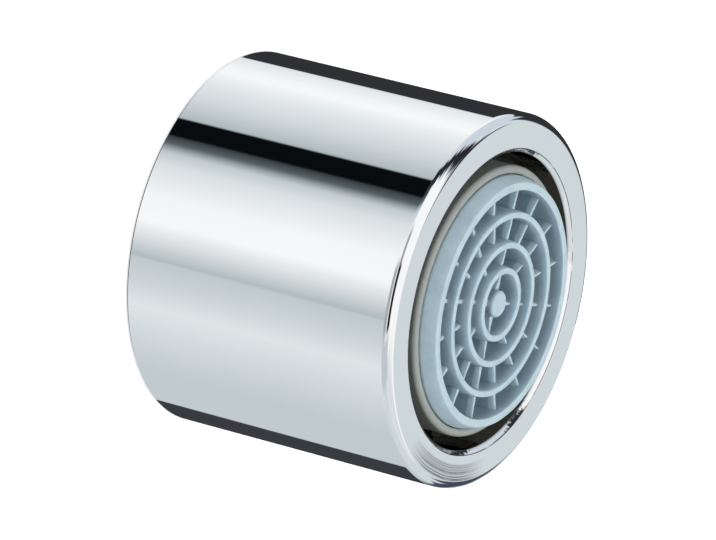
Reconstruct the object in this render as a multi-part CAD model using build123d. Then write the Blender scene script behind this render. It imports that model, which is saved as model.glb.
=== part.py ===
from build123d import *
from math import cos, pi, sin
import os

# Spout thread, cut inside the inlet end; the housing's wall lies outside it
thread_diameter = 22.0
thread_pitch = 1.0
thread_depth_ratio = 0.5413
thread_length = 4.6
thread_runout = 0.2
relief_depth = 0.05
mouth_depth = 0.8
mouth_relief = 0.2
housing_wall = 1.0

# Edges of the housing
inlet_edge_break = 0.15
outlet_edge_radius = 0.6
outlet_edge_flats = 3
lip_break_width = 0.24
lip_break_depth = 0.36

# Sealing washer
washer_thickness = 2.0
washer_width = 2.0

# Clearances
pass_clearance = 0.15
fit_clearance = 0.05

# Insert sleeve
flange_thickness = 1.0
seat_width = 0.81
air_gap = 0.83
sleeve_lip = 0.53
sleeve_ledge = 0.45
sleeve_setback = 0.2
chamber_length = 3.2
window_count = 6
window_width = 4.2
window_margin = 0.6
guide_count = 4
guide_width = 1.0
guide_length = 0.8

# Jet plate: rows of slot jets, with the distance of each row from the plate's edge
jet_plate_thickness = 1.4
jet_length = 1.3
jet_width = 0.6
jet_counts = (6, 12)
jet_row_insets = (4.9, 2.6)

# Strainer: rows of slots in its top, with the distance of each row from the strainer's edge
strainer_gap = 0.3
strainer_setback = 0.15
strainer_wall = 0.45
strainer_skirt_wall = 0.7
slot_length = 1.9
slot_width = 0.5
slot_counts = (6, 12)
slot_row_insets = (4.5, 2.1)
stem_diameter = 1.8
stem_plug_length = 1.0

# Mixing grid
mixing_grid_thickness = 3.0
mixing_web_height = 0.8
mixing_rim_wall = 0.6
mixing_hub_diameter = 2.0
mixing_ring_wall = 0.4
mixing_rib_thickness = 0.4
mixing_rib_counts = (6, 6)
mixing_cell_shares = (0.5, 0.5)

# Outlet grid: cells counted from the hub outwards, as shares of the clear span between hub and rim
grid_height = 4.95
grid_projection = 0.8
grid_rim_wall = 0.79
grid_nose_width = 0.5
nose_land_share = 0.64
grid_hub_diameter = 1.74
grid_hub_setback = 0.2
grid_hub_edge_break = 0.12
grid_ring_wall = 0.35
grid_ring_setback = 0.08
grid_rib_thickness = 0.3
grid_rib_setback = 0.63
grid_rib_counts = (4, 8, 16, 16)
grid_cell_shares = (0.207, 0.236, 0.292, 0.265)

# Radii, from the thread inwards
thread_radius = thread_diameter / 2
thread_wall_radius = thread_radius - thread_depth_ratio * thread_pitch
housing_radius = thread_radius + housing_wall
relief_radius = thread_radius + relief_depth
flange_radius = thread_wall_radius - pass_clearance
outlet_bore_radius = flange_radius - seat_width
sleeve_radius = outlet_bore_radius - air_gap
socket_radius = sleeve_radius - sleeve_lip
mixing_bore_radius = socket_radius - sleeve_ledge
chamber_radius = mixing_bore_radius - sleeve_ledge
grid_radius = socket_radius - fit_clearance
washer_bore_radius = flange_radius - washer_width
strainer_radius = washer_bore_radius - strainer_gap

# Heights, from the inlet face to the outlet grid's front
thread_end = mouth_depth + thread_length
washer_level = thread_end + thread_runout
flange_level = washer_level + washer_thickness
seat_level = flange_level + flange_thickness
chamber_level = flange_level + jet_plate_thickness
mixing_level = chamber_level + chamber_length
grid_level = mixing_level + mixing_grid_thickness
grid_front = grid_level + grid_height
lip_level = grid_front - grid_projection
sleeve_front = lip_level - sleeve_setback

# Alignment of a tool that stands on its lower face
STANDING = (Align.CENTER, Align.CENTER, Align.MIN)


def outline(*points):
    """Open line through (radius, height) points in the XZ plane."""
    return Polyline(*[(radius, 0, height) for radius, height in points])


def turned(*points):
    """Solid of revolution about Z, from the corners of its section."""
    return revolve(make_face(outline(*points, points[0]).edges()), Axis.Z)


def rounded_edge(radius, height, edge_radius, flats):
    """Corner points of an outside edge that is rounded in flats, from the side to the front."""
    turns = [flat * pi / 2 / flats for flat in range(flats + 1)]
    return [(radius - edge_radius * (1 - cos(turn)), height - edge_radius * (1 - sin(turn)))
            for turn in turns]


def nosed_wall(nose_inner, nose_outer, front, *back_points):
    """Turned wall with a bevelled front edge; back_points run from its outside to its inside."""
    nose_width = nose_outer - nose_inner
    land = nose_width * nose_land_share
    bevel = (nose_width - land) / 2
    return turned(
        (nose_inner + bevel, front),
        (nose_outer - bevel, front),
        (nose_outer, front - bevel),
        *back_points,
        (nose_inner, front - bevel),
    )


def rows(tool, counts, insets, edge_radius):
    """Copies of a cutting tool in round rows, each at its distance in from an edge."""
    return [place * tool
            for count, inset in zip(counts, insets)
            for place in PolarLocations(edge_radius - inset, count)]


def ring_radii(hub_radius, rim_radius, ring_wall, cell_shares):
    """Middle radii of a grid's rings, with the clear span between hub and rim shared among the cells."""
    ring_count = len(cell_shares) - 1
    clear_span = rim_radius - hub_radius - ring_count * ring_wall
    radii = []
    edge = hub_radius
    for share in cell_shares[:ring_count]:
        edge += share / sum(cell_shares) * clear_span
        radii.append(edge + ring_wall / 2)
        edge += ring_wall
    return radii


def ribs(counts, radii, thickness, back, front):
    """Radial ribs; each circle of them runs from one radius in the list to the next."""
    blades = []
    for count, inner, outer in zip(counts, radii, radii[1:]):
        blade = Box(outer - inner, thickness, front - back, align=(Align.MIN, Align.CENTER, Align.MIN))
        blades += [place * Pos(inner, 0, back) * blade for place in PolarLocations(0, count)]
    return blades


def make_housing():
    """Turned shell: thread wall, relief, seat for the insert, outlet bore and rounded lip."""
    runout_depth = relief_radius - thread_wall_radius
    return turned(
        (housing_radius - inlet_edge_break, 0),
        (housing_radius, inlet_edge_break),
        *rounded_edge(housing_radius, lip_level, outlet_edge_radius, outlet_edge_flats),
        (outlet_bore_radius + lip_break_width, lip_level),
        (outlet_bore_radius, lip_level - lip_break_depth),
        (outlet_bore_radius, seat_level),
        (relief_radius, seat_level),
        (relief_radius, thread_end + runout_depth),
        (thread_wall_radius, thread_end),
        (thread_wall_radius, mouth_depth),
        (thread_radius + mouth_relief, 0),
    )


def make_washer():
    """Flat rubber ring on the sleeve's flange."""
    return turned(
        (washer_bore_radius, washer_level),
        (flange_radius, washer_level),
        (flange_radius, flange_level),
        (washer_bore_radius, flange_level),
    )


def make_strainer():
    """Shallow cap with rows of slots in its flat top, a skirt and a stem that plugs into the jet plate."""
    crown = washer_level + strainer_setback
    skirt_inner = strainer_radius - strainer_skirt_wall
    cap = turned(
        (0, crown),
        (strainer_radius, crown),
        (strainer_radius, flange_level),
        (skirt_inner, flange_level),
        (skirt_inner, crown + strainer_wall),
        (0, crown + strainer_wall),
    )
    stem_end = flange_level + stem_plug_length
    stem_length = stem_end - crown - strainer_wall / 2
    stem = Pos(0, 0, stem_end - stem_length) * Cylinder(stem_diameter / 2, stem_length, align=STANDING)
    slot = Pos(0, 0, crown) * Box(slot_length, slot_width, strainer_wall, align=STANDING)
    return cap - rows(slot, slot_counts, slot_row_insets, strainer_radius) + stem


def make_jet_plate():
    """Round plate with rows of slot jets and a socket for the strainer's stem."""
    plate = turned(
        (stem_diameter / 2 + fit_clearance, flange_level),
        (grid_radius, flange_level),
        (grid_radius, chamber_level),
        (stem_diameter / 2 + fit_clearance, chamber_level),
    )
    jet = Pos(0, 0, flange_level) * Box(jet_length, jet_width, jet_plate_thickness, align=STANDING)
    return plate - rows(jet, jet_counts, jet_row_insets, grid_radius)


def make_sleeve():
    """Flanged sleeve with air windows, guides that centre it in the bore and ledges for the grids."""
    body = turned(
        (socket_radius, flange_level),
        (flange_radius, flange_level),
        (flange_radius, seat_level),
        (sleeve_radius, seat_level),
        (sleeve_radius, sleeve_front),
        (socket_radius, sleeve_front),
        (socket_radius, grid_level),
        (mixing_bore_radius, grid_level),
        (mixing_bore_radius, mixing_level),
        (chamber_radius, mixing_level),
        (chamber_radius, chamber_level),
        (socket_radius, chamber_level),
    )
    wall = sleeve_radius - chamber_radius
    window = Pos(0, 0, chamber_level + window_margin) * Box(
        2 * wall, window_width, chamber_length - 2 * window_margin, align=STANDING)
    windows = [place * window
               for place in PolarLocations(sleeve_radius - wall / 2, window_count, 180 / window_count)]
    guide_reach = ((outlet_bore_radius - fit_clearance) ** 2 - (guide_width / 2) ** 2) ** 0.5
    guide = Pos(0, 0, seat_level) * Box(
        guide_reach - sleeve_radius + sleeve_lip, guide_width, guide_length,
        align=(Align.MAX, Align.CENTER, Align.MIN))
    guides = [place * guide for place in PolarLocations(guide_reach, guide_count)]
    return body - windows + guides


def make_mixing_grid():
    """Moulded grid of rings and ribs in a deeper rim, which spaces it from the outlet grid."""
    outer = mixing_bore_radius - fit_clearance
    rim_inner = outer - mixing_rim_wall
    hub_radius = mixing_hub_diameter / 2
    web_end = mixing_level + mixing_web_height
    radii = ring_radii(hub_radius, rim_inner, mixing_ring_wall, mixing_cell_shares)
    walls = [(rim_inner, outer, grid_level), (0, hub_radius, web_end)]
    walls += [(radius - mixing_ring_wall / 2, radius + mixing_ring_wall / 2, web_end) for radius in radii]
    rings = [turned((inner, mixing_level), (edge, mixing_level), (edge, end), (inner, end))
             for inner, edge, end in walls]
    spans = [0, *radii, rim_inner + mixing_rim_wall / 2]
    return Part() + rings + ribs(mixing_rib_counts, spans, mixing_rib_thickness, mixing_level, web_end)


def make_outlet_grid():
    """Outlet grid: tapered rim with a bevelled nose, three bevelled rings, a hub and sunk ribs."""
    rim_inner = grid_radius - grid_rim_wall
    rim = nosed_wall(
        rim_inner, rim_inner + grid_nose_width, grid_front,
        (grid_radius, sleeve_front),
        (grid_radius, grid_level),
        (rim_inner, grid_level),
    )
    hub_radius = grid_hub_diameter / 2
    hub_front = grid_front - grid_hub_setback
    hub = turned(
        (0, grid_level),
        (hub_radius, grid_level),
        (hub_radius, hub_front - grid_hub_edge_break),
        (hub_radius - grid_hub_edge_break, hub_front),
        (0, hub_front),
    )
    radii = ring_radii(hub_radius, rim_inner, grid_ring_wall, grid_cell_shares)
    half_wall = grid_ring_wall / 2
    rings = [nosed_wall(radius - half_wall, radius + half_wall, grid_front - grid_ring_setback,
                        (radius + half_wall, grid_level), (radius - half_wall, grid_level))
             for radius in radii]
    spans = [0, *radii, rim_inner + grid_nose_width / 2]
    blades = ribs(grid_rib_counts, spans, grid_rib_thickness, grid_level, grid_front - grid_rib_setback)
    return Part() + [rim, hub, *rings, *blades]


pieces = {
    "housing": make_housing(),
    "sealing_washer": make_washer(),
    "strainer": make_strainer(),
    "jet_plate": make_jet_plate(),
    "insert_sleeve": make_sleeve(),
    "mixing_grid": make_mixing_grid(),
    "outlet_grid": make_outlet_grid(),
}
os.makedirs("parts", exist_ok=True)
for name, piece in pieces.items():
    export_step(piece, f"parts/{name}.step")
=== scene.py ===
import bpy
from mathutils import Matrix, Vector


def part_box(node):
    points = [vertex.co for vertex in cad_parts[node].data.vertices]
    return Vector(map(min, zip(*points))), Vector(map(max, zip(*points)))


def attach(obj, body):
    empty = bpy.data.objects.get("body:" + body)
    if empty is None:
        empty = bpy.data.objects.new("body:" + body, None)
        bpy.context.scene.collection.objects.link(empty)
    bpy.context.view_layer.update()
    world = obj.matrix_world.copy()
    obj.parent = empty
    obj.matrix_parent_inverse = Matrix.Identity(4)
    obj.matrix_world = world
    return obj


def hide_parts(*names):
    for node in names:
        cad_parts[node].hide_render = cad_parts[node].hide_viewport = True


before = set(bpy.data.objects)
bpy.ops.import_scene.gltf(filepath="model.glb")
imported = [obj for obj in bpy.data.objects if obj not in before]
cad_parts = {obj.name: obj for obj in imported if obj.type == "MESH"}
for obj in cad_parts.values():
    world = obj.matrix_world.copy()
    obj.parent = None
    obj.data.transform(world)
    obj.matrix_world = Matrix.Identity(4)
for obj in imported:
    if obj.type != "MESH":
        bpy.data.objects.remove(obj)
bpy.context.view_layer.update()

from math import asin, atan2, cos, pi, radians, sin, tau

import bmesh
import bpy
from bpy.props import FloatProperty, FloatVectorProperty, IntProperty, PointerProperty
from mathutils import Matrix, Vector

bl_info = {
    "name": "Tap aerator",
    "version": (1, 0, 0),
    "blender": (4, 5, 0),
    "location": "View3D > Sidebar > Aerator",
    "description": "Dresses the tap aerator's solids and sets them in a studio",
    "category": "Object",
}

MM = 0.001
# Distances under which vertices are welded, and under which they count as being in one place
WELD = 1e-7
NEAR = 2e-6
# Angle above which an edge is shaded sharp
CREASE = radians(35)
# Largest Z of the normal of a face that counts as upright
UPRIGHT = 0.5
WHITE = (1, 1, 1, 1)


def length(name, description, millimetres):
    """Length property with its default in millimetres."""
    return FloatProperty(name=name, description=description, default=millimetres * MM,
                         precision=4, unit="LENGTH")


def share(name, description, value):
    """Property between nought and one."""
    return FloatProperty(name=name, description=description, default=value, min=0, max=1,
                         subtype="FACTOR")


def angle(name, description, value):
    """Angle property with its default in degrees."""
    return FloatProperty(name=name, description=description, default=radians(value), subtype="ANGLE")


def colour(name, description, value):
    """Linear colour property."""
    return FloatVectorProperty(name=name, description=description, default=value, size=3,
                               min=0, max=1, subtype="COLOR")


class HousingSizes(bpy.types.PropertyGroup):
    """Sizes of the chromed housing."""
    steps: IntProperty(name="Steps", description="Steps round the housing", default=256)
    inlet_edge_break: length("Inlet edge", "Bevel of the outside edge at the inlet", 0.15)
    outlet_edge_radius: length("Outlet edge", "Radius of the outside edge at the outlet", 0.6)
    bore_radius: length("Bore", "Radius of the outlet bore", 9.499)
    lip_break_width: length("Lip break", "Width of the bevel inside the lip", 0.29)
    lip_break_depth: length("Lip break depth", "Depth of the bevel inside the lip", 0.29)
    lip_corner_radius: length("Lip corner", "Radius of the corners of that bevel", 0.05)
    seat_level: length("Seat", "Height of the seat of the insert", 8.6)
    relief_radius: length("Relief", "Radius of the relief behind the thread", 11.05)
    relief_level: length("Relief level", "Height at which the relief begins", 5.99)
    thread_root_radius: length("Thread root", "Radius at the bottom of the thread", 11.0)
    thread_crest_radius: length("Thread crest", "Radius at the thread's crest", 10.459)
    thread_pitch: length("Pitch", "Pitch of the thread", 1.0)
    thread_start: length("Thread start", "Height of the thread's first turn", 0.9)
    thread_end: length("Thread end", "Height of the thread's last turn", 5.3)
    thread_foot: share("Thread foot", "Half the width of the ridge's foot, in pitches", 0.45)
    thread_crest: share("Thread crest width", "Half the width of the ridge's crest, in pitches", 0.07)
    thread_sink: length("Thread sink", "Depth of the ridge's foot in the wall", 0.03)
    thread_steps: IntProperty(name="Thread steps", description="Steps in one turn of the thread", default=96)
    mouth_radius: length("Mouth", "Radius of the bevelled mouth", 11.2)


class SleeveSizes(bpy.types.PropertyGroup):
    """Sizes of the insert's sleeve, whose flange lies against the housing's seat."""
    steps: IntProperty(name="Steps", description="Steps round the sleeve", default=192)
    wall_radius: length("Wall", "Outside radius of the wall", 8.669)
    socket_radius: length("Socket", "Radius of the socket of the outlet grid", 8.139)
    mixing_bore_radius: length("Mixing bore", "Radius of the bore of the mixing grid", 7.689)
    chamber_radius: length("Chamber", "Radius of the air chamber", 7.239)
    window_start: length("Window start", "Height of the air windows' lower edge", 9.6)
    window_end: length("Window end", "Height of the air windows' upper edge", 11.6)
    guide_end: length("Guide end", "Height of the guides' upper end", 9.4)
    guide_radius: length("Guide reach", "Radius that the guides reach", 9.449)
    guide_half_angle: angle("Guide width", "Half the angle that a guide takes up", 3.75)
    windows: IntProperty(name="Windows", description="Number of air windows", default=6)
    guides: IntProperty(name="Guides", description="Number of guides", default=4)
    outer_edge_radius: length("Outer edge", "Radius of the front's outer edge", 0.31)
    inner_edge_radius: length("Inner edge", "Radius of the front's inner edge", 0.19)


class GridSizes(bpy.types.PropertyGroup):
    """Sizes of the outlet grid."""
    steps: IntProperty(name="Steps", description="Steps round the grid", default=192)
    rim_radius: length("Rim", "Outside radius of the rim", 8.089)
    rim_inner_radius: length("Rim inside", "Inside radius of the rim", 7.299)
    nose_width: length("Nose", "Width of the rim at its front", 0.5)
    ring_radius_inner: length("Inner ring", "Middle radius of the inner ring", 2.160)
    ring_radius_middle: length("Middle ring", "Middle radius of the middle ring", 3.781)
    ring_radius_outer: length("Outer ring", "Middle radius of the outer ring", 5.700)
    ring_wall: length("Ring wall", "Wall of the rings at their front", 0.35)
    ring_draft_outer: length("Outer draft", "Widening of the rings outwards, down to the ribs", 0.10)
    ring_draft_inner: length("Inner draft", "Widening of the rings inwards, down to the ribs", 0.06)
    ring_setback: length("Ring setback", "Distance of the rings behind the rim's front", 0.08)
    hub_radius: length("Hub", "Radius of the hub", 0.87)
    hub_setback: length("Hub setback", "Distance of the hub behind the rim's front", 0.2)
    rib_thickness: length("Rib", "Thickness of the ribs at their foot", 0.42)
    rib_inner_thickness: length("Rib front, inner", "Thickness of a rib's front at its inner end", 0.22)
    rib_outer_thickness: length("Rib front, outer", "Thickness of a rib's front at its outer end", 0.08)
    rib_rise: length("Rib rise", "How far a rib's front rises to its outer end", 0.08)
    rib_draft_depth: length("Rib draft", "Depth over which the ribs widen", 0.3)
    rib_setback: length("Rib setback", "Distance of the ribs behind the rim's front", 0.63)
    nose_radius: length("Nose edges", "Radius of the edges of the rim's nose", 0.09)
    ring_edge_radius: length("Ring edges", "Radius of the rings' edges", 0.065)
    hub_edge_radius: length("Hub edge", "Radius of the hub's edge", 0.25)


class Looks(bpy.types.PropertyGroup):
    """Colours and finishes."""
    chrome: colour("Chrome", "Colour of the chrome plate", (0.93, 0.94, 0.95))
    chrome_roughness: share("Chrome roughness", "Roughness of the chrome plate", 0.02)
    # Painted shade: the bore wall gets a darker, browner chrome that stands in for the dark gap and the
    # sleeve it reflects.
    bore: colour("Bore", "Colour of the thinly plated bore", (0.55, 0.53, 0.50))
    # Painted shade: colour of the broken dark line along the lip's inner crease.
    crease_shade: colour("Worn edge", "Colour of the worn line along the lip's inner edge", (0.05, 0.035, 0.03))
    # The lip's turning marks are bumps kept to one side of the lip by the heading, reach and core below;
    # their darkening of the chrome there, down to the marks' tone, is painted reflection.
    marks_and_shade_heading: angle("Turning marks", "Direction in which the lip's turning marks show most", -9)
    marks_and_shade_reach: angle("Marks' reach", "Angle from that direction at which the marks begin", 28)
    marks_and_shade_core: angle("Marks' core", "Angle from that direction within which they are strongest", 4)
    marks_inner_radius: length("Marks inside", "Inside radius of the turning marks", 10.35)
    marks_outer_radius: length("Marks outside", "Outside radius of the turning marks", 11.43)
    painted_marks_tone: share("Marks' tone", "Brightness of the chrome in the darkest marks", 0.3)
    rubber: colour("Rubber", "Colour of the washer", (0.03, 0.03, 0.03))
    rubber_roughness: share("Rubber roughness", "Roughness of the washer", 0.7)
    white: colour("White", "Colour of the inner mouldings", (0.82, 0.82, 0.80))
    grey: colour("Grey", "Colour of the sleeve", (0.34, 0.36, 0.345))
    blue_grey: colour("Blue grey", "Colour of the outlet grid", (0.53, 0.66, 0.735))
    plastic_roughness: share("Plastic roughness", "Roughness of the mouldings", 0.42)


class StageSettings(bpy.types.PropertyGroup):
    """Camera, floor and light."""
    elevation: angle("Elevation", "Camera above the horizon", 29.56)
    azimuth: angle("Azimuth", "Camera round the object, from +X", -95.8)
    roll: angle("Roll", "Turn of the camera about its line of sight", 104.378)
    shift_right: length("Aim right", "Aim right of the origin, across the view", 7.977)
    shift_up: length("Aim up", "Aim above the origin, across the view", -2.154)
    distance: length("Distance", "Camera to the origin, along the view", 444.27)
    lens: FloatProperty(name="Lens", description="Focal length in millimetres", default=351.59)
    nearest: length("Nearest", "Nearest distance that the camera sees", 10)
    furthest: length("Furthest", "Furthest distance that the camera sees", 5000)
    floor_size: length("Floor", "Side of the floor", 1600)
    floor_gap: length("Floor gap", "Distance of the floor under the object", 0.02)
    floor_colour: colour("Floor colour", "Colour of the floor", (0.80, 0.80, 0.80))
    floor_lift: share("Floor lift", "Brightness added to the floor for the camera", 0.5)
    lamp_size: length("Lamp", "Side of the overhead lamp", 500)
    lamp_height: length("Lamp height", "Height of the overhead lamp", 700)
    lamp_power: FloatProperty(name="Lamp power", description="Power of the overhead lamp", default=4.6,
                              unit="POWER")
    lamp_colour: colour("Lamp colour", "Colour of the overhead lamp", (1.0, 0.995, 0.95))
    soft_colour: colour("Soft light", "Colour of the soft light on matt surfaces", (0.86, 0.935, 1.0))
    low_light: FloatProperty(name="Low light", description="Brightness of the soft light near the horizon",
                             default=1.8, min=0)
    back_light: share("Back light", "Brightness of that light behind the object", 0.15)
    high_light: share("High light", "Brightness of the soft light above that", 0.14)


class AeratorSettings(bpy.types.PropertyGroup):
    """All settings of the aerator."""
    housing: PointerProperty(type=HousingSizes)
    sleeve: PointerProperty(type=SleeveSizes)
    grid: PointerProperty(type=GridSizes)
    looks: PointerProperty(type=Looks)
    stage: PointerProperty(type=StageSettings)


# Modelling

def radius_of(vert):
    """Distance of a vertex from the axis."""
    return vert.co.xy.length


def set_radius(vert, radius):
    """Moves a vertex in or out to a radius."""
    vert.co.xy *= radius / radius_of(vert)


def set_polar(vert, radius, direction):
    """Moves a vertex level to a radius and a direction."""
    vert.co.xy = radius * cos(direction), radius * sin(direction)


def turn_once(bm, verts, edges, steps):
    """Turns a line of vertices and edges once round Z."""
    bmesh.ops.spin(bm, geom=verts + edges, cent=(0, 0, 0), axis=(0, 0, 1), dvec=(0, 0, 0),
                   angle=tau, steps=steps, use_merge=True)


def lathe(bm, corners, steps):
    """Turns a closed section; corners are (radius, height)."""
    verts = [bm.verts.new((radius, 0, height)) for radius, height in corners]
    edges = [bm.edges.new(pair) for pair in zip(verts, verts[1:] + verts[:1])]
    turn_once(bm, verts, edges, steps)


def circle_edges(bm, radius, height):
    """Edges of one turned circle."""
    return [edge for edge in bm.edges
            if all(abs(radius_of(vert) - radius) < NEAR and abs(vert.co.z - height) < NEAR
                   for vert in edge.verts)]


def round_edges(bm, edges, radius, segments):
    """Rounds edges with arcs of some segments."""
    bmesh.ops.bevel(bm, geom=edges, offset=radius, offset_type="OFFSET", segments=segments,
                    profile=0.5, affect="EDGES", material=-1, clamp_overlap=True)


def extruded(bm, faces):
    """Extrudes a region of faces; gives its new vertices and faces."""
    edges = {edge for face in faces for edge in face.edges}
    made = bmesh.ops.extrude_face_region(bm, geom=[*faces, *edges])["geom"]
    verts = [item for item in made if isinstance(item, bmesh.types.BMVert)]
    new_faces = [item for item in made if isinstance(item, bmesh.types.BMFace)]
    return verts, new_faces


def finish_piece(context, name, bm, node, material):
    """Makes the object of a piece, which stands for its CAD node."""
    bmesh.ops.remove_doubles(bm, verts=bm.verts, dist=WELD)
    bmesh.ops.recalc_face_normals(bm, faces=bm.faces)
    mesh = bpy.data.meshes.new(name)
    bm.to_mesh(mesh)
    bm.free()
    mesh.shade_smooth()
    mesh.set_sharp_from_angle(angle=CREASE)
    mesh.materials.append(material)
    piece = bpy.data.objects.new(name, mesh)
    context.scene.collection.objects.link(piece)
    normals = piece.modifiers.new("Weighted normals", "WEIGHTED_NORMAL")
    normals.keep_sharp = True
    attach(piece, "root")
    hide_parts(node)


# Nodes

def add_node(tree, kind, inputs=None, **settings):
    """Adds a node; inputs maps sockets to values or to the sockets that feed them."""
    made = tree.nodes.new(kind)
    for name, value in settings.items():
        setattr(made, name, value)
    for socket, value in (inputs or {}).items():
        if isinstance(value, bpy.types.NodeSocket):
            tree.links.new(value, made.inputs[socket])
        else:
            made.inputs[socket].default_value = value
    return made


def math_node(tree, operation, *values, clamp=False):
    """Adds a Math node and gives its output."""
    return add_node(tree, "ShaderNodeMath", dict(enumerate(values)), operation=operation,
                    use_clamp=clamp).outputs[0]


def product(tree, first, *others):
    """Multiplies values and gives the product."""
    for other in others:
        first = math_node(tree, "MULTIPLY", first, other)
    return first


def map_range(tree, value, start, end, low=0.0, high=1.0, interpolation="SMOOTHSTEP"):
    """Adds a Map Range node and gives its output."""
    return add_node(tree, "ShaderNodeMapRange",
                    {"Value": value, "From Min": start, "From Max": end, "To Min": low, "To Max": high},
                    interpolation_type=interpolation).outputs["Result"]


def band(tree, value, start, end, soft):
    """Mask between two values, with soft ends."""
    rise = map_range(tree, value, start - soft, start + soft)
    fall = map_range(tree, value, end - soft, end + soft, 1, 0)
    return product(tree, rise, fall)


def noise(tree, vector, scale, detail=2.0):
    """Adds a Noise Texture and gives its factor."""
    return add_node(tree, "ShaderNodeTexNoise",
                    {"Vector": vector, "Scale": scale, "Detail": detail}).outputs[0]


def mix_colours(tree, factor, first, second):
    """Adds a colour Mix node and gives its output."""
    made = add_node(tree, "ShaderNodeMix", {0: factor, 6: first, 7: second}, data_type="RGBA")
    return made.outputs[2]


def add_bump(tree, height, distance, strength=1.0, normal=None):
    """Adds a Bump node, over another bump's normal if there is one, and gives its normal."""
    made = add_node(tree, "ShaderNodeBump", {"Strength": strength, "Distance": distance, "Height": height})
    if normal:
        tree.links.new(normal, made.inputs["Normal"])
    return made.outputs[0]


def radius_socket(tree, coords):
    """Distance from the axis."""
    flat = add_node(tree, "ShaderNodeVectorMath", {0: coords, 1: (1, 1, 0)}, operation="MULTIPLY").outputs[0]
    return add_node(tree, "ShaderNodeVectorMath", {0: flat}, operation="LENGTH").outputs["Value"]


def opaque(rgb, strength=1.0):
    """Colour with its alpha, scaled."""
    return (*[value * strength for value in rgb], 1.0)


# Materials

# Range that holds most values of a noise, and the steeper range that makes it patchy
NOISE_RANGE = (0.3, 0.7)
PATCH_RANGE = (0.35, 0.65)


def new_material(name):
    """New material with a Principled BSDF; gives it with its tree, shader and object coordinates."""
    material = bpy.data.materials.new(name)
    material.use_nodes = True
    tree = material.node_tree
    tree.nodes.clear()
    shader = add_node(tree, "ShaderNodeBsdfPrincipled")
    add_node(tree, "ShaderNodeOutputMaterial", {"Surface": shader.outputs[0]})
    coords = add_node(tree, "ShaderNodeTexCoord").outputs["Object"]
    return material, tree, shader, coords


def connect(tree, shader, base, rough, normal):
    """Feeds the shader's colour, roughness and normal."""
    for name, source in (("Base Color", base), ("Roughness", rough), ("Normal", normal)):
        tree.links.new(source, shader.inputs[name])


def grain_group():
    """Node group of fine grain and broad clouds on a surface."""
    group = bpy.data.node_groups.new("Surface grain", "ShaderNodeTree")
    sockets = group.interface
    sockets.new_socket("Vector", in_out="INPUT", socket_type="NodeSocketVector")
    sockets.new_socket("Grain Scale", in_out="INPUT", socket_type="NodeSocketFloat")
    sockets.new_socket("Cloud Scale", in_out="INPUT", socket_type="NodeSocketFloat")
    sockets.new_socket("Height", in_out="OUTPUT", socket_type="NodeSocketFloat")
    sockets.new_socket("Cloud", in_out="OUTPUT", socket_type="NodeSocketFloat")
    start = add_node(group, "NodeGroupInput").outputs
    height = noise(group, start["Vector"], start["Grain Scale"], detail=3.0)
    cloud = noise(group, start["Vector"], start["Cloud Scale"])
    add_node(group, "NodeGroupOutput", {"Height": height, "Cloud": cloud})
    return group


def place_grain(tree, coords, cloud_scale, grain_scale=2500.0):
    """Places the grain group, which is built once; gives its height and its clouds."""
    group = bpy.data.node_groups.get("Surface grain") or grain_group()
    placed = add_node(tree, "ShaderNodeGroup",
                      {"Vector": coords, "Grain Scale": grain_scale, "Cloud Scale": cloud_scale},
                      node_tree=group)
    return placed.outputs["Height"], placed.outputs["Cloud"]


def moulded_material(name, rgb, roughness, shade, thick_radius=None):
    """Moulded plastic or rubber, clouded, specked and grained; it is translucent if thick_radius is given."""
    material, tree, shader, coords = new_material(name)
    height, cloud = place_grain(tree, coords, cloud_scale=700.0)
    cloud_share = 0.6
    clouds = product(tree, map_range(tree, cloud, *NOISE_RANGE), cloud_share)
    mottle = math_node(tree, "ADD", clouds, map_range(tree, height, *PATCH_RANGE, 0, 1 - cloud_share))
    base = mix_colours(tree, mottle, opaque(rgb, shade), opaque(rgb))
    speck_range, speck_strength, speck_colour = (0.70, 0.76), 0.5, (0.85, 0.85, 0.85)
    specks = map_range(tree, height, *speck_range, 0, speck_strength)
    base = mix_colours(tree, specks, base, opaque(speck_colour))
    gloss_change = 0.15
    rough = map_range(tree, cloud, *NOISE_RANGE, roughness * (1 - gloss_change),
                      roughness * (1 + gloss_change))
    connect(tree, shader, base, rough, add_bump(tree, height, distance=0.02 * MM, strength=0.35))
    if thick_radius:
        let_light_in(tree, shader, coords, thick_radius)
    return material


def let_light_in(tree, shader, coords, thick_radius):
    """Lets light into the slim walls of a moulding, and less into the thick ones beyond a radius."""
    change, in_thin, in_thick = 0.3 * MM, 1.0, 0.4
    weight = map_range(tree, radius_socket(tree, coords), thick_radius - change, thick_radius,
                       in_thin, in_thick)
    tree.links.new(weight, shader.inputs["Subsurface Weight"])
    shader.inputs["Subsurface Radius"].default_value = (0.95, 1.0, 1.03)
    shader.inputs["Subsurface Scale"].default_value = 0.35 * MM


def marks_with_painted_shade(tree, coords, radius, cloud, looks):
    """Fine patchy lines round the lip; gives their wave and the mask of where they show, one side of the lip,
    which also places their painted reflection.
    """
    direction = (cos(looks.marks_and_shade_heading), sin(looks.marks_and_shade_heading), 0)
    toward = add_node(tree, "ShaderNodeVectorMath", {0: coords, 1: direction},
                      operation="DOT_PRODUCT").outputs["Value"]
    near = map_range(tree, math_node(tree, "DIVIDE", toward, radius),
                     cos(looks.marks_and_shade_reach), cos(looks.marks_and_shade_core))
    ring = band(tree, radius, looks.marks_inner_radius, looks.marks_outer_radius, soft=0.1 * MM)
    wobble = product(tree, cloud, 0.3 * MM)
    lines = add_node(tree, "ShaderNodeTexNoise",
                     {"W": math_node(tree, "ADD", radius, wobble), "Scale": 7000.0, "Detail": 3.0},
                     noise_dimensions="1D").outputs[0]
    line_range, faintest = (0.36, 0.64), 0.35
    patchy = map_range(tree, noise(tree, coords, scale=1100.0), *PATCH_RANGE, low=faintest)
    wave = product(tree, map_range(tree, lines, *line_range, low=-1), patchy)
    return wave, product(tree, near, ring)


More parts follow.
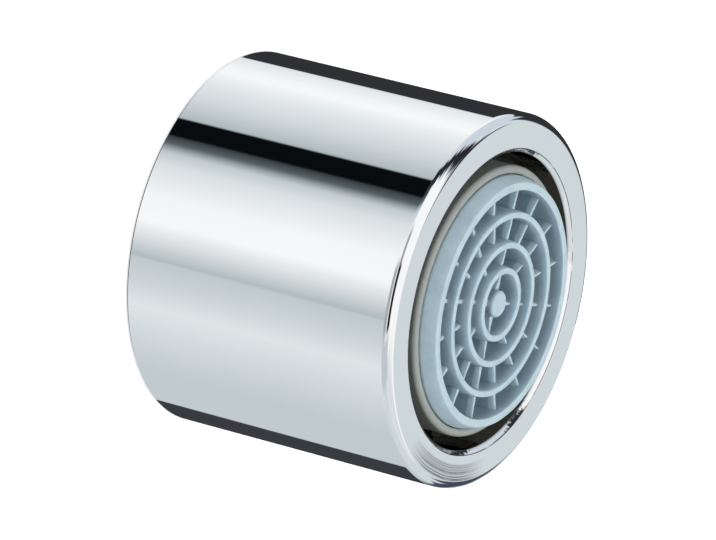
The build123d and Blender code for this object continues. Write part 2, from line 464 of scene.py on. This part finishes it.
def painted_crease_shade(tree, coords, radius, height, lip_inner, lip_level):
    """Mask of the broken painted dark line along the lip's inner edge, standing in for the shade in that
    crease.
    """
    inside, outside = 0.03 * MM, 0.01 * MM
    line = band(tree, radius, lip_inner - inside, lip_inner + outside, soft=0.02 * MM)
    break_range = (0.32, 0.46)
    broken = map_range(tree, noise(tree, coords, scale=900.0, detail=4.0), *break_range)
    lowest, full = 0.12 * MM, 0.06 * MM
    return product(tree, line, broken, map_range(tree, height, lip_level - lowest, lip_level - full))


def lip_nicks(tree, coords, radius, height, lip_inner, lip_level, sizes):
    """Height of the nicks in the bevel inside the lip."""
    foot, fade = lip_level - sizes.lip_break_depth, 0.03 * MM
    across = band(tree, radius, sizes.bore_radius, lip_inner, soft=0.015 * MM)
    above = map_range(tree, height, foot - fade, foot)
    return product(tree, noise(tree, coords, scale=1500.0, detail=3.0), across, above)


def chrome_material(looks, sizes, lip_level):
    """Chrome plate, with painted shade darker and browner in the bore: faint ripple, turning marks on the lip
    whose darkening on one side is painted reflection, and a nicked inner edge with a painted dark line in its
    crease.
    """
    material, tree, shader, coords = new_material("Chrome plate")
    shader.inputs["Metallic"].default_value = 1.0
    lip_inner = sizes.bore_radius + sizes.lip_break_width
    radius = radius_socket(tree, coords)
    height = add_node(tree, "ShaderNodeSeparateXYZ", {"Vector": coords}).outputs["Z"]
    _, cloud = place_grain(tree, coords, cloud_scale=140.0)
    clouds = map_range(tree, cloud, *NOISE_RANGE)
    cloud_tone, gloss_change = 0.985, 0.2
    plate = mix_colours(tree, clouds, opaque(looks.chrome, cloud_tone), opaque(looks.chrome))
    rough = map_range(tree, clouds, 0, 1, looks.chrome_roughness * (1 - gloss_change),
                      looks.chrome_roughness * (1 + gloss_change))
    # Painted shade: inside this radius the plate turns to the darker, browner bore colour.
    bore_shade_edge, full = sizes.bore_radius + 0.01 * MM, sizes.bore_radius + 0.12 * MM
    base = mix_colours(tree, map_range(tree, radius, bore_shade_edge, full), opaque(looks.bore), plate)
    wave, ring = marks_with_painted_shade(tree, coords, radius, cloud, looks)
    lowest, level = lip_level - 0.03 * MM, lip_level - 0.005 * MM
    marks_and_shade_mask = product(tree, ring, map_range(tree, height, lowest, level))
    # Painted reflection: the chrome darkens along the turning marks on that side of the lip.
    faintest = 0.2
    painted_marks_shade = product(tree, marks_and_shade_mask, map_range(tree, wave, -1, 1, low=faintest))
    base = mix_colours(tree, painted_marks_shade, base, opaque(looks.chrome, looks.painted_marks_tone))
    # Painted shade: a broken dark line along the lip's inner crease.
    crease_shade = painted_crease_shade(tree, coords, radius, height, lip_inner, lip_level)
    base = mix_colours(tree, crease_shade, base, opaque(looks.crease_shade))
    nicks = lip_nicks(tree, coords, radius, height, lip_inner, lip_level, sizes)
    rippled = add_bump(tree, cloud, distance=0.02 * MM, strength=0.12)
    turned = add_bump(tree, product(tree, wave, marks_and_shade_mask), distance=0.002 * MM, normal=rippled)
    connect(tree, shader, base, rough, add_bump(tree, nicks, distance=0.03 * MM, normal=turned))
    return material


# Pieces

class AERATOR_OT_housing(bpy.types.Operator):
    """Turn the chromed housing, with its rounded lip and spout thread"""
    bl_idname = "aerator.housing"
    bl_label = "Housing"

    def execute(self, context):
        settings = context.scene.aerator
        sizes = settings.housing
        low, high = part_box("housing")
        radius, lip_level = high.x, high.z
        lip_inner = sizes.bore_radius + sizes.lip_break_width
        break_level = lip_level - sizes.lip_break_depth
        bm = bmesh.new()
        lathe(bm, [
            (radius - sizes.inlet_edge_break, low.z),
            (radius, low.z + sizes.inlet_edge_break),
            (radius, lip_level),
            (lip_inner, lip_level),
            (sizes.bore_radius, break_level),
            (sizes.bore_radius, sizes.seat_level),
            (sizes.relief_radius, sizes.seat_level),
            (sizes.relief_radius, sizes.relief_level),
            (sizes.thread_root_radius, sizes.relief_level),
            (sizes.thread_root_radius, low.z + sizes.mouth_radius - sizes.thread_root_radius),
            (sizes.mouth_radius, low.z),
        ], sizes.steps)
        round_edges(bm, circle_edges(bm, radius, lip_level), sizes.outlet_edge_radius, segments=14)
        corners = circle_edges(bm, lip_inner, lip_level) + circle_edges(bm, sizes.bore_radius, break_level)
        round_edges(bm, corners, sizes.lip_corner_radius, segments=4)
        self.wind_thread(bm, sizes)
        material = chrome_material(settings.looks, sizes, lip_level)
        finish_piece(context, "housing_shell", bm, "housing", material)
        return {"FINISHED"}

    def wind_thread(self, bm, sizes):
        """Winds the thread's ridge onto the wall."""
        root = sizes.thread_root_radius + sizes.thread_sink
        half_foot = sizes.thread_foot * sizes.thread_pitch
        half_crest = sizes.thread_crest * sizes.thread_pitch
        start = sizes.thread_start + half_crest
        verts = [bm.verts.new((radius, 0, start + height)) for radius, height in (
            (root, -half_foot), (sizes.thread_crest_radius, -half_crest),
            (sizes.thread_crest_radius, half_crest), (root, half_foot))]
        section = bm.faces.new(verts)
        turns = (sizes.thread_end - sizes.thread_start) / sizes.thread_pitch
        bmesh.ops.spin(bm, geom=[*verts, *section.edges, section], cent=(0, 0, 0), axis=(0, 0, 1),
                       dvec=(0, 0, sizes.thread_pitch / sizes.thread_steps), angle=tau * turns,
                       steps=round(sizes.thread_steps * turns))


class AERATOR_OT_sleeve(bpy.types.Operator):
    """Mould the insert's sleeve, with its air windows and guides"""
    bl_idname = "aerator.sleeve"
    bl_label = "Insert sleeve"

    def execute(self, context):
        settings = context.scene.aerator
        sizes = settings.sleeve
        seat_level = settings.housing.seat_level
        low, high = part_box("insert_sleeve")
        front = high.z
        chamber_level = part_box("jet_plate")[1].z
        mixing_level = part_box("mixing_grid")[0].z
        grid_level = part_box("outlet_grid")[0].z
        bm = bmesh.new()
        lathe(bm, [
            (sizes.socket_radius, low.z),
            (high.x, low.z),
            (high.x, seat_level),
            (sizes.wall_radius, seat_level),
            (sizes.wall_radius, sizes.guide_end),
            (sizes.wall_radius, sizes.window_start),
            (sizes.wall_radius, sizes.window_end),
            (sizes.wall_radius, front),
            (sizes.socket_radius, front),
            (sizes.socket_radius, grid_level),
            (sizes.mixing_bore_radius, grid_level),
            (sizes.mixing_bore_radius, mixing_level),
            (sizes.chamber_radius, mixing_level),
            (sizes.chamber_radius, sizes.window_end),
            (sizes.chamber_radius, sizes.window_start),
            (sizes.chamber_radius, chamber_level),
            (sizes.socket_radius, chamber_level),
        ], sizes.steps)
        self.cut_windows(bm, sizes)
        self.raise_guides(bm, seat_level, sizes)
        round_edges(bm, circle_edges(bm, sizes.wall_radius, front), sizes.outer_edge_radius, segments=7)
        round_edges(bm, circle_edges(bm, sizes.socket_radius, front), sizes.inner_edge_radius, segments=4)
        looks = settings.looks
        material = moulded_material("Grey plastic", looks.grey, looks.plastic_roughness, shade=0.9)
        finish_piece(context, "sleeve_moulding", bm, "insert_sleeve", material)
        return {"FINISHED"}

    def faces_between(self, bm, start, end, middle, half_angle):
        """Upright faces between two heights, near one direction."""
        direction = Vector((cos(middle), sin(middle)))
        found = []
        for face in bm.faces:
            centre = face.calc_center_median()
            upright = abs(face.normal.z) < UPRIGHT
            if upright and start < centre.z < end and centre.xy.angle(direction) < half_angle:
                found.append(face)
        return found

    def cut_windows(self, bm, sizes):
        """Opens the air windows through the wall, each half as wide as its share of the round."""
        bm.normal_update()
        window_angle = tau / sizes.windows / 2
        for number in range(sizes.windows):
            middle = (number + 0.5) * tau / sizes.windows
            openings = self.faces_between(bm, sizes.window_start, sizes.window_end, middle, window_angle / 2)
            inside = set(openings)
            rim = {edge for face in openings for edge in face.edges
                   if not inside.issuperset(edge.link_faces)}
            bmesh.ops.delete(bm, geom=openings, context="FACES_KEEP_BOUNDARY")
            bmesh.ops.bridge_loops(bm, edges=list(rim))

    def raise_guides(self, bm, seat_level, sizes):
        """Raises the guides that centre the sleeve in the bore."""
        bm.normal_update()
        outside = (sizes.socket_radius + sizes.wall_radius) / 2
        for number in range(sizes.guides):
            middle = number * tau / sizes.guides
            walls = self.faces_between(bm, seat_level, sizes.guide_end, middle, sizes.guide_half_angle)
            pads = [face for face in walls if face.calc_center_median().xy.length > outside]
            for vert in extruded(bm, pads)[0]:
                set_radius(vert, sizes.guide_radius)


# Ribs in each circle of the outlet grid, from the hub outwards
RIB_COUNTS = (4, 8, 16, 16)


class AERATOR_OT_outlet_grid(bpy.types.Operator):
    """Mould the outlet grid: rim, rings, hub and sunk ribs in one surface"""
    bl_idname = "aerator.outlet_grid"
    bl_label = "Outlet grid"

    def execute(self, context):
        settings = context.scene.aerator
        sizes = settings.grid
        low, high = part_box("outlet_grid")
        front = high.z
        sleeve_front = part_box("insert_sleeve")[1].z
        rib_front = front - sizes.rib_setback
        half_ring = sizes.ring_wall / 2
        nose_outer = sizes.rim_inner_radius + sizes.nose_width
        taper = (sizes.rim_radius - nose_outer) / (front - sleeve_front)
        rows = [sizes.hub_radius]
        for ring in (sizes.ring_radius_inner, sizes.ring_radius_middle, sizes.ring_radius_outer):
            rows += [ring - half_ring - sizes.ring_draft_inner, ring + half_ring + sizes.ring_draft_outer]
        rows += [sizes.rim_inner_radius, nose_outer + taper * sizes.rib_setback]
        bm = bmesh.new()
        places = self.polar_sheet(bm, rows, rib_front, sizes)
        self.open_cells(bm, places, sizes)
        self.sink(bm, (rib_front - sizes.rib_draft_depth, sleeve_front, low.z), sleeve_front, taper, sizes)
        self.raise_walls(bm, rows, rib_front, front, nose_outer, sizes)
        self.sharpen_ribs(places, sizes)
        self.round_walls(bm, rows, front, nose_outer, sizes)
        looks = settings.looks
        material = moulded_material("Blue-grey plastic", looks.blue_grey, looks.plastic_roughness, shade=0.88,
                                    thick_radius=sizes.rim_inner_radius)
        finish_piece(context, "grid_moulding", bm, "outlet_grid", material)
        return {"FINISHED"}

    def polar_sheet(self, bm, rows, level, sizes):
        """Flat round sheet whose lines lie along the walls and ribs; gives each vertex's row and step."""
        spoke = [bm.verts.new((radius, 0, level)) for radius in [0, *rows]]
        edges = [bm.edges.new(pair) for pair in zip(spoke, spoke[1:])]
        turn_once(bm, spoke, edges, sizes.steps)
        bmesh.ops.remove_doubles(bm, verts=bm.verts, dist=WELD)
        places = {}
        for vert in bm.verts:
            radius = radius_of(vert)
            if radius < NEAR:
                continue
            row = min(range(len(rows)), key=lambda index: abs(rows[index] - radius))
            step = round(atan2(vert.co.y, vert.co.x) / tau * sizes.steps) % sizes.steps
            places[vert] = (row, step)
            set_polar(vert, radius, self.line_direction(row, step, radius, sizes))
        return places

    def line_direction(self, row, step, radius, sizes):
        """Direction of a line of the sheet: a rib has a middle and two sides, and the rest share the cell."""
        count = RIB_COUNTS[0] if row == 0 else RIB_COUNTS[-1]
        spacing = sizes.steps // count
        offset = (step + spacing // 2) % spacing - spacing // 2
        middle = (step - offset) / sizes.steps * tau
        side_angle = asin(sizes.rib_thickness / 2 / radius)
        turn = side_angle * min(abs(offset), 1)
        if abs(offset) > 1:
            rest = (abs(offset) - 1) / (spacing / 2 - 1)
            turn += rest * (pi / count - side_angle)
        return middle + (turn if offset > 0 else -turn)

    def open_cells(self, bm, places, sizes):
        """Removes the sheet between the ribs."""
        cells = []
        for face in bm.faces:
            spots = [places[vert] for vert in face.verts if vert in places]
            inner = min(row for row, step in spots)
            if len(spots) < len(face.verts) or inner % 2:
                continue
            spacing = sizes.steps // RIB_COUNTS[inner // 2]
            if not any(step % spacing == 0 for row, step in spots):
                cells.append(face)
        bmesh.ops.delete(bm, geom=cells, context="FACES")

    def sink(self, bm, levels, sleeve_front, taper, sizes):
        """Gives the sheet its depth; the rim widens down to the sleeve's front."""
        region = list(bm.faces)
        for level in levels:
            verts, region = extruded(bm, region)
            rim_radius = sizes.rim_radius - taper * max(level - sleeve_front, 0)
            for vert in verts:
                vert.co.z = level
                if radius_of(vert) > sizes.rim_inner_radius + NEAR:
                    set_radius(vert, rim_radius)
        bmesh.ops.recalc_face_normals(bm, faces=bm.faces)

    def raise_walls(self, bm, rows, rib_front, front, nose_outer, sizes):
        """Raises the hub, rings and rim above the ribs."""
        hub, *rings, rim_inner, _ = rows
        raised = []
        for face in bm.faces:
            level = all(abs(vert.co.z - rib_front) < NEAR for vert in face.verts)
            row = sum(face.calc_center_median().xy.length > radius for radius in rows)
            if level and row % 2 == 0:
                raised.append(face)
        for vert in extruded(bm, raised)[0]:
            radius = radius_of(vert)
            if radius < hub + NEAR:
                vert.co.z = front - sizes.hub_setback
            elif radius < rings[-1] + NEAR:
                vert.co.z = front - sizes.ring_setback
                inner = any(abs(radius - side) < NEAR for side in rings[::2])
                set_radius(vert, radius + (sizes.ring_draft_inner if inner else -sizes.ring_draft_outer))
            else:
                vert.co.z = front
                if radius > rim_inner + NEAR:
                    set_radius(vert, nose_outer)
        bmesh.ops.recalc_face_normals(bm, faces=bm.faces)

    def sharpen_ribs(self, places, sizes):
        """Narrows the ribs to their front, which rises and tapers outwards."""
        spacing = sizes.steps // RIB_COUNTS[-1]
        for vert, (row, step) in places.items():
            side = (step + 1) % spacing - 1
            if not vert.is_valid or row == 0 or abs(side) > 1:
                continue
            outer = row % 2
            radius = radius_of(vert)
            half = (sizes.rib_outer_thickness if outer else sizes.rib_inner_thickness) / 2
            set_polar(vert, radius, (step - side) / sizes.steps * tau + side * asin(half / radius))
            vert.co.z += sizes.rib_rise * outer

    def round_walls(self, bm, rows, front, nose_outer, sizes):
        """Rounds the edges of the hub, rings and rim."""
        hub, *rings, rim_inner, _ = rows
        ring_level = front - sizes.ring_setback
        crests = [radius + sizes.ring_draft_inner for radius in rings[::2]]
        crests += [radius - sizes.ring_draft_outer for radius in rings[1::2]]
        ring_edges = [edge for radius in crests for edge in circle_edges(bm, radius, ring_level)]
        round_edges(bm, ring_edges, sizes.ring_edge_radius, segments=3)
        rim_edges = [edge for radius in (rim_inner, nose_outer) for edge in circle_edges(bm, radius, front)]
        round_edges(bm, rim_edges, sizes.nose_radius, segments=4)
        hub_edges = circle_edges(bm, hub, front - sizes.hub_setback)
        round_edges(bm, hub_edges, sizes.hub_edge_radius, segments=5)


class AERATOR_OT_inner_pieces(bpy.types.Operator):
    """Finish the washer, strainer, jet plate and mixing grid inside the housing"""
    bl_idname = "aerator.inner_pieces"
    bl_label = "Inner pieces"

    def execute(self, context):
        looks = context.scene.aerator.looks
        rubber = moulded_material("Black rubber", looks.rubber, looks.rubber_roughness, shade=0.7)
        white = moulded_material("White plastic", looks.white, looks.plastic_roughness, shade=0.93)
        for node, material in (("sealing_washer", rubber), ("strainer", white), ("jet_plate", white),
                               ("mixing_grid", white)):
            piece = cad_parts[node]
            piece.data.materials.clear()
            piece.data.materials.append(material)
        return {"FINISHED"}


# Stage

# Light panels round the object: heading from the camera in degrees, brightness
PANELS = (
    (-180, 0.62), (-137, 0.80), (-120, 0.96), (-112, 1.0), (-96, 0.85), (-80, 0.72), (-66, 0.54),
    (-52, 0.03), (-46, 0.13), (-40, 0.63), (-32, 0.79), (-12, 0.98), (3, 1.0), (25.5, 0.53), (26.5, 0.62),
    (40, 0.69), (56, 0.83), (88, 0.68), (104, 0.63), (180, 0.62),
)
LIGHT_BLUE = (0.63, 0.69, 0.77)
LIGHT_GREY = (0.66, 0.72, 0.74)
CHARCOAL = (0.030, 0.031, 0.036)
SLATE = (0.055, 0.07, 0.10)
BLACK = (0.02, 0.022, 0.028)
# Cards and dark flags among the panels: first and last heading, lowest and highest elevation,
# softness of the sides and of the ends, colour
FLAGS = (
    (-156, -68, -8, 43, 1.5, 2.5, LIGHT_BLUE),
    (66, 185, -4, 36, 3, 4, LIGHT_GREY),
    (60, 152, 34, 66, 6, 12, (0.72, 0.76, 0.775)),
    (36, 67, -16, 47, 5, 4, (0.56, 0.60, 0.62)),
    (-8, 34, -20, 10, 6, 6, (0.40, 0.405, 0.42)),
    (-30, -6, 10, 33, 6, 4, (0.36, 0.365, 0.375)),
    (-9, 33, 18, 43, 3, 3, (0.012, 0.012, 0.014)),
    (-190, -135.8, -95, 12, 0.8, 2.5, CHARCOAL),
    (-174, -144, 8, 27, 2, 1.5, CHARCOAL),
    (138.6, 190, -95, -26, 0.8, 2.5, (0.042, 0.045, 0.053)),
    (145.5, 158, -22, 14, 2, 2.5, SLATE),
    (153, 165, -7, 16, 2, 2.5, SLATE),
    (160, 170, 0, 18, 2, 2.5, SLATE),
    (157, 173.5, 12, 27, 2, 1.5, SLATE),
    (-64.4, -51.5, -95, -24, 0.8, 2.5, (0.003, 0.004, 0.005)),
    (-71, -54, -24, -2, 2, 3, BLACK),
    (-75.5, -57, -6, 12, 2, 3, BLACK),
    (-85, -65, 9, 27, 2, 3, BLACK),
    (-97, -75, 23, 39, 2, 3, BLACK),
    (-112, -90, 37, 50, 2, 2, BLACK),
    (-132, -104, 43, 57.5, 2, 2, BLACK),
    (-158, -124, 44.5, 55.5, 2, 2, BLACK),
    (-170, -156, 39, 47.5, 2, 2, BLACK),
    (-177, -165, 32.5, 43.5, 1.5, 1.5, BLACK),
)
# Elevations between which the panels pass into the ceiling, and between which the soft light fades
CEILING_START = (0, 14)
SOFT_FADE = (8, 24)
# How far a direction leans to the camera's side, where the ceiling turns white and the soft light full
WHITE_CEILING = (-0.82, -0.68)
FULL_LIGHT = (-0.9, -0.2)


def cool(tone):
    """Grey of a brightness, bluer as it darkens."""
    less_red, more_blue = 0.24 * (1 - tone), 0.09 * (1 - tone)
    return tone * (1 - less_red), tone, tone * (1 + more_blue), 1


class AERATOR_OT_stage(bpy.types.Operator):
    """Set up the floor, the studio light and the camera"""
    bl_idname = "aerator.stage"
    bl_label = "Stage"

    def execute(self, context):
        stage = context.scene.aerator.stage
        context.scene.view_settings.view_transform = "Standard"
        self.add_floor(context, stage)
        self.add_lamp(context, stage)
        self.add_surround(context, stage)
        self.add_camera(context, stage)
        return {"FINISHED"}

    def add_floor(self, context, stage):
        """Pale floor that is white to the camera but keeps the shadow."""
        bm = bmesh.new()
        bmesh.ops.create_grid(bm, x_segments=1, y_segments=1, size=stage.floor_size / 2)
        mesh = bpy.data.meshes.new("floor")
        bm.to_mesh(mesh)
        bm.free()
        floor = bpy.data.objects.new("floor", mesh)
        context.scene.collection.objects.link(floor)
        floor.location.z = -stage.floor_gap
        floor.visible_glossy = False
        material = bpy.data.materials.new("Floor")
        material.use_nodes = True
        tree = material.node_tree
        tree.nodes.clear()
        diffuse = add_node(tree, "ShaderNodeBsdfDiffuse", {"Color": opaque(stage.floor_colour)})
        seen = add_node(tree, "ShaderNodeLightPath").outputs["Is Camera Ray"]
        lift = add_node(tree, "ShaderNodeEmission",
                        {"Color": WHITE, "Strength": product(tree, seen, stage.floor_lift)})
        both = add_node(tree, "ShaderNodeAddShader", {0: diffuse.outputs[0], 1: lift.outputs[0]})
        add_node(tree, "ShaderNodeOutputMaterial", {"Surface": both.outputs[0]})
        mesh.materials.append(material)

    def add_lamp(self, context, stage):
        """Large soft lamp overhead."""
        data = bpy.data.lights.new("overhead_lamp", "AREA")
        data.size = stage.lamp_size
        data.energy = stage.lamp_power
        data.color = stage.lamp_colour
        lamp = bpy.data.objects.new("overhead_lamp", data)
        context.scene.collection.objects.link(lamp)
        lamp.location = 0, 0, stage.lamp_height
        lamp.visible_glossy = False

    def add_surround(self, context, stage):
        """Surround that is white to the camera, soft light to matt surfaces, and panels in reflections."""
        world = bpy.data.worlds.new("studio")
        context.scene.world = world
        world.use_nodes = True
        tree = world.node_tree
        tree.nodes.clear()
        direction = add_node(tree, "ShaderNodeTexCoord").outputs["Generated"]
        faced = add_node(tree, "ShaderNodeMapping", {"Vector": direction, "Rotation": (0, 0, -stage.azimuth)})
        split = add_node(tree, "ShaderNodeSeparateXYZ", {"Vector": faced.outputs[0]}).outputs
        heading = math_node(tree, "DEGREES", math_node(tree, "ARCTAN2", split["Y"], split["X"]))
        elevation = math_node(tree, "DEGREES", math_node(tree, "ARCSINE", split["Z"]))
        panels = self.panel_colour(tree, heading, elevation, split["X"])
        low_light = map_range(tree, split["X"], *FULL_LIGHT, stage.back_light, stage.low_light)
        soft_light = map_range(tree, elevation, *SOFT_FADE, low_light, stage.high_light)
        soft = add_node(tree, "ShaderNodeBackground",
                        {"Color": opaque(stage.soft_colour), "Strength": soft_light})
        reflected = add_node(tree, "ShaderNodeBackground", {"Color": panels})
        white = add_node(tree, "ShaderNodeBackground", {"Color": WHITE})
        path = add_node(tree, "ShaderNodeLightPath").outputs
        lit = add_node(tree, "ShaderNodeMixShader",
                       {0: path["Is Glossy Ray"], 1: soft.outputs[0], 2: reflected.outputs[0]})
        seen = math_node(tree, "ADD", path["Is Camera Ray"], path["Is Transmission Ray"], clamp=True)
        shown = add_node(tree, "ShaderNodeMixShader", {0: seen, 1: lit.outputs[0], 2: white.outputs[0]})
        add_node(tree, "ShaderNodeOutputWorld", {"Surface": shown.outputs[0]})

    def panel_colour(self, tree, heading, elevation, forward):
        """Colour of the panels, the ceiling above them, and the cards and flags before them."""
        around = map_range(tree, heading, -180, 180, interpolation="LINEAR")
        ramp = add_node(tree, "ShaderNodeValToRGB", {"Fac": around})
        stops = ramp.color_ramp.elements
        for place, tone in PANELS[1:-1]:
            stops.new((place + 180) / 360).color = cool(tone)
        for stop, (place, tone) in ((stops[0], PANELS[0]), (stops[-1], PANELS[-1])):
            stop.color = cool(tone)
        ceiling = mix_colours(tree, map_range(tree, forward, *WHITE_CEILING), opaque(LIGHT_GREY), WHITE)
        seen = mix_colours(tree, map_range(tree, elevation, *CEILING_START), ramp.outputs["Color"], ceiling)
        for first, last, lowest, highest, soft_sides, soft_ends, rgb in FLAGS:
            across = band(tree, heading, first, last, soft_sides)
            upward = band(tree, elevation, lowest, highest, soft_ends)
            seen = mix_colours(tree, product(tree, across, upward), seen, opaque(rgb))
        return seen

    def add_camera(self, context, stage):
        """Camera at the view of the picture, turned about its line of sight."""
        view = Vector((cos(stage.elevation) * cos(stage.azimuth), cos(stage.elevation) * sin(stage.azimuth),
                       sin(stage.elevation)))
        level = Vector((-sin(stage.azimuth), cos(stage.azimuth), 0))
        upright = view.cross(level)
        right = cos(stage.roll) * level + sin(stage.roll) * upright
        up = cos(stage.roll) * upright - sin(stage.roll) * level
        data = bpy.data.cameras.new("camera")
        data.lens = stage.lens
        data.clip_start = stage.nearest
        data.clip_end = stage.furthest
        camera = bpy.data.objects.new("camera", data)
        context.scene.collection.objects.link(camera)
        place = right * stage.shift_right + up * stage.shift_up + view * stage.distance
        camera.matrix_world = Matrix.Translation(place) @ Matrix((right, up, view)).transposed().to_4x4()
        context.scene.camera = camera


class AERATOR_PT_panel(bpy.types.Panel):
    """Operators of the tap aerator"""
    bl_idname = "AERATOR_PT_panel"
    bl_label = "Tap aerator"
    bl_space_type = "VIEW_3D"
    bl_region_type = "UI"
    bl_category = "Aerator"

    def draw(self, context):
        for operator in OPERATORS:
            self.layout.operator(operator.bl_idname)


OPERATORS = (AERATOR_OT_housing, AERATOR_OT_sleeve, AERATOR_OT_outlet_grid, AERATOR_OT_inner_pieces,
             AERATOR_OT_stage)
CLASSES = (HousingSizes, SleeveSizes, GridSizes, Looks, StageSettings, AeratorSettings, *OPERATORS,
           AERATOR_PT_panel)


def register():
    for item in CLASSES:
        bpy.utils.register_class(item)
    bpy.types.Scene.aerator = PointerProperty(type=AeratorSettings)


def unregister():
    del bpy.types.Scene.aerator
    for item in reversed(CLASSES):
        bpy.utils.unregister_class(item)


def main():
    """Builds the pieces and the stage."""
    register()
    bpy.ops.aerator.housing()
    bpy.ops.aerator.sleeve()
    bpy.ops.aerator.outlet_grid()
    bpy.ops.aerator.inner_pieces()
    bpy.ops.aerator.stage()


if __name__ == "__main__":
    main()
